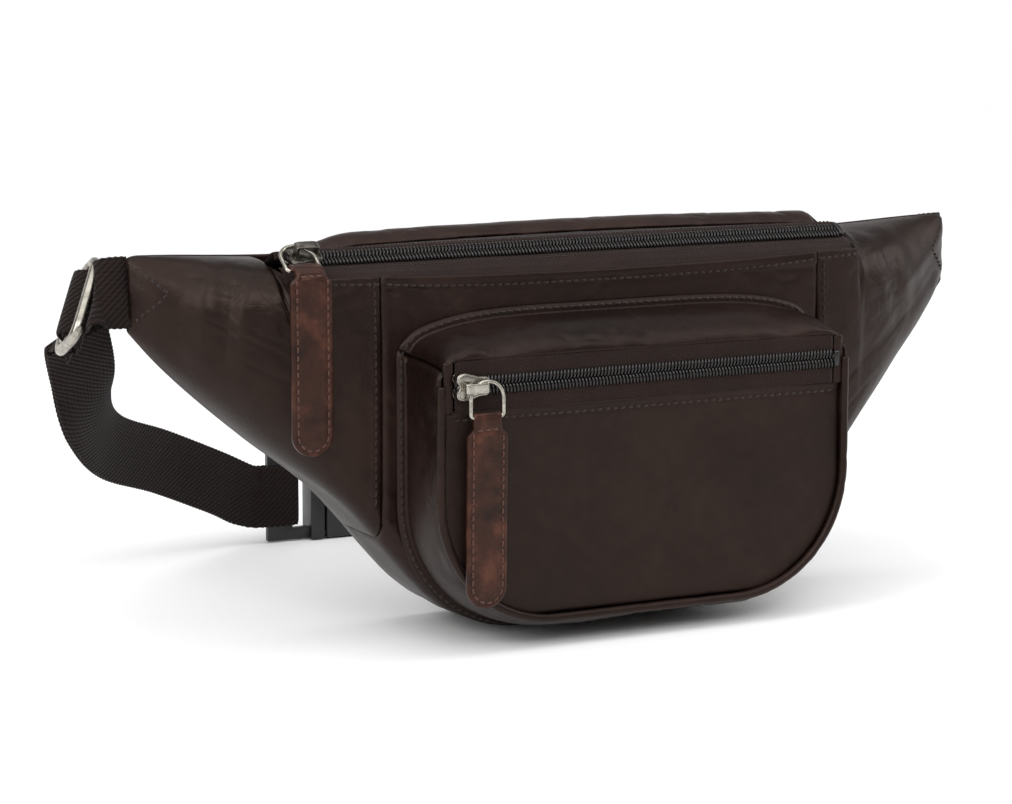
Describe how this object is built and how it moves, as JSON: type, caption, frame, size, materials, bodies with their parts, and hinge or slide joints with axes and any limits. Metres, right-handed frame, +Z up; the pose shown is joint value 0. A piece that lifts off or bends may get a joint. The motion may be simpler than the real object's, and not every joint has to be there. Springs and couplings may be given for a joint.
{
  "type": "waist pack",
  "caption": "Leather waist pack with a zipped main compartment, a raised zipped front pocket, and an adjustable webbing belt with a side-release buckle.",
  "frame": {"origin": "on the floor under the middle of the pack and its belt loop, with the pack standing as it is stored", "axes": "+X along the waist to the wing with the plain belt end, +Y towards the wearer, +Z up"},
  "size_m": [0.3788, 0.2246, 0.145],
  "materials": {
    "leather": "satin, dark chocolate brown, fine grain",
    "tab_leather": "satin, reddish brown, worn edges",
    "cotton": "plain woven cotton",
    "zip_tape": "woven tape",
    "zip_teeth": "nylon coil",
    "webbing": "heavy twill webbing",
    "nickel": "antique nickel, polished on the edges",
    "gunmetal": "dark antique nickel",
    "buckle_plastic": "moulded acetal, slight sheen"
  },
  "bodies": {
    "bag": {"back_panel": "leather", "back_lining": "cotton", "front_panel": "leather", "front_lining": "cotton", "wing_left": "leather", "wing_right": "leather", "rear_facing": "leather", "main_tape_front": "zip_tape", "main_tape_rear": "zip_tape", "main_teeth_front": "zip_teeth", "main_teeth_rear": "zip_teeth", "main_end_stop": "zip_teeth", "pocket_face": "leather", "pocket_top_panel": "leather", "pocket_gusset": "leather", "pocket_piping": "leather", "pocket_lining": "cotton", "pocket_tape_upper": "zip_tape", "pocket_tape_lower": "zip_tape", "pocket_teeth_upper": "zip_teeth", "pocket_teeth_lower": "zip_teeth", "pocket_end_stop": "zip_teeth", "belt_left": "webbing", "belt_right": "webbing", "belt_end_wrap": "webbing", "buckle_male": "buckle_plastic"},
    "main_slider": {"main_slider": "gunmetal"},
    "main_ring": {"main_ring": "nickel"},
    "main_tab": {"main_tab": "tab_leather"},
    "pocket_slider": {"pocket_slider": "nickel"},
    "pocket_ring": {"pocket_ring": "nickel"},
    "pocket_tab": {"pocket_tab": "tab_leather"},
    "tri_glide": {"tri_glide": "nickel"},
    "buckle_female": {"buckle_female": "buckle_plastic", "belt_right_loop": "webbing"},
    "prong_upper": {"buckle_prong_upper": "buckle_plastic"},
    "prong_lower": {"buckle_prong_lower": "buckle_plastic"}
  },
  "joints": [
    {"name": "main_zip_slide", "type": "slide", "parent": "bag", "child": "main_slider", "axis": [1, 0, 0], "range_m": [0, 0.2135], "deforming": ["main_tab"]},
    {"name": "main_ring_swing", "type": "hinge", "parent": "main_slider", "child": "main_ring", "pos_m": [-0.112, -0.06376, 0.14158], "axis": [0, -0.5878, 0.809], "range_deg": [-12, 12]},
    {"name": "main_tab_lift", "type": "hinge", "parent": "main_ring", "child": "main_tab", "pos_m": [-0.1129, -0.07226, 0.13541], "axis": [-1, 0, 0], "range_deg": [0, 100]},
    {"name": "pocket_zip_slide", "type": "slide", "parent": "bag", "child": "pocket_slider", "axis": [1, 0, 0], "range_m": [0, 0.136]},
    {"name": "pocket_ring_swing", "type": "hinge", "parent": "pocket_slider", "child": "pocket_ring", "pos_m": [-0.0615, -0.10995, 0.096], "axis": [0, -1, 0], "range_deg": [-12, 12]},
    {"name": "pocket_tab_lift", "type": "hinge", "parent": "pocket_ring", "child": "pocket_tab", "pos_m": [-0.0606, -0.10995, 0.0855], "axis": [-1, 0, 0], "range_deg": [0, 100]},
    {"name": "tri_glide_tilt", "type": "hinge", "parent": "bag", "child": "tri_glide", "pos_m": [-0.1794, -0.02475, 0.121], "axis": [0.4229, 0.4185, 0.8037], "range_deg": [-1, 1]},
    {"name": "buckle_release", "type": "slide", "parent": "bag", "child": "buckle_female", "axis": [1, 0, 0], "range_m": [0, 0.03], "deforming": ["belt_right"]},
    {"name": "prong_upper_squeeze", "type": "hinge", "parent": "bag", "child": "prong_upper", "pos_m": [-0.0298, 0.10725, 0.0265], "axis": [0, 1, 0], "range_deg": [0, 8], "stiffness_Nm_per_rad": 0.3},
    {"name": "prong_lower_squeeze", "type": "hinge", "parent": "bag", "child": "prong_lower", "pos_m": [-0.0298, 0.10725, 0.0115], "axis": [0, -1, 0], "range_deg": [0, 8], "stiffness_Nm_per_rad": 0.3}
  ]
}
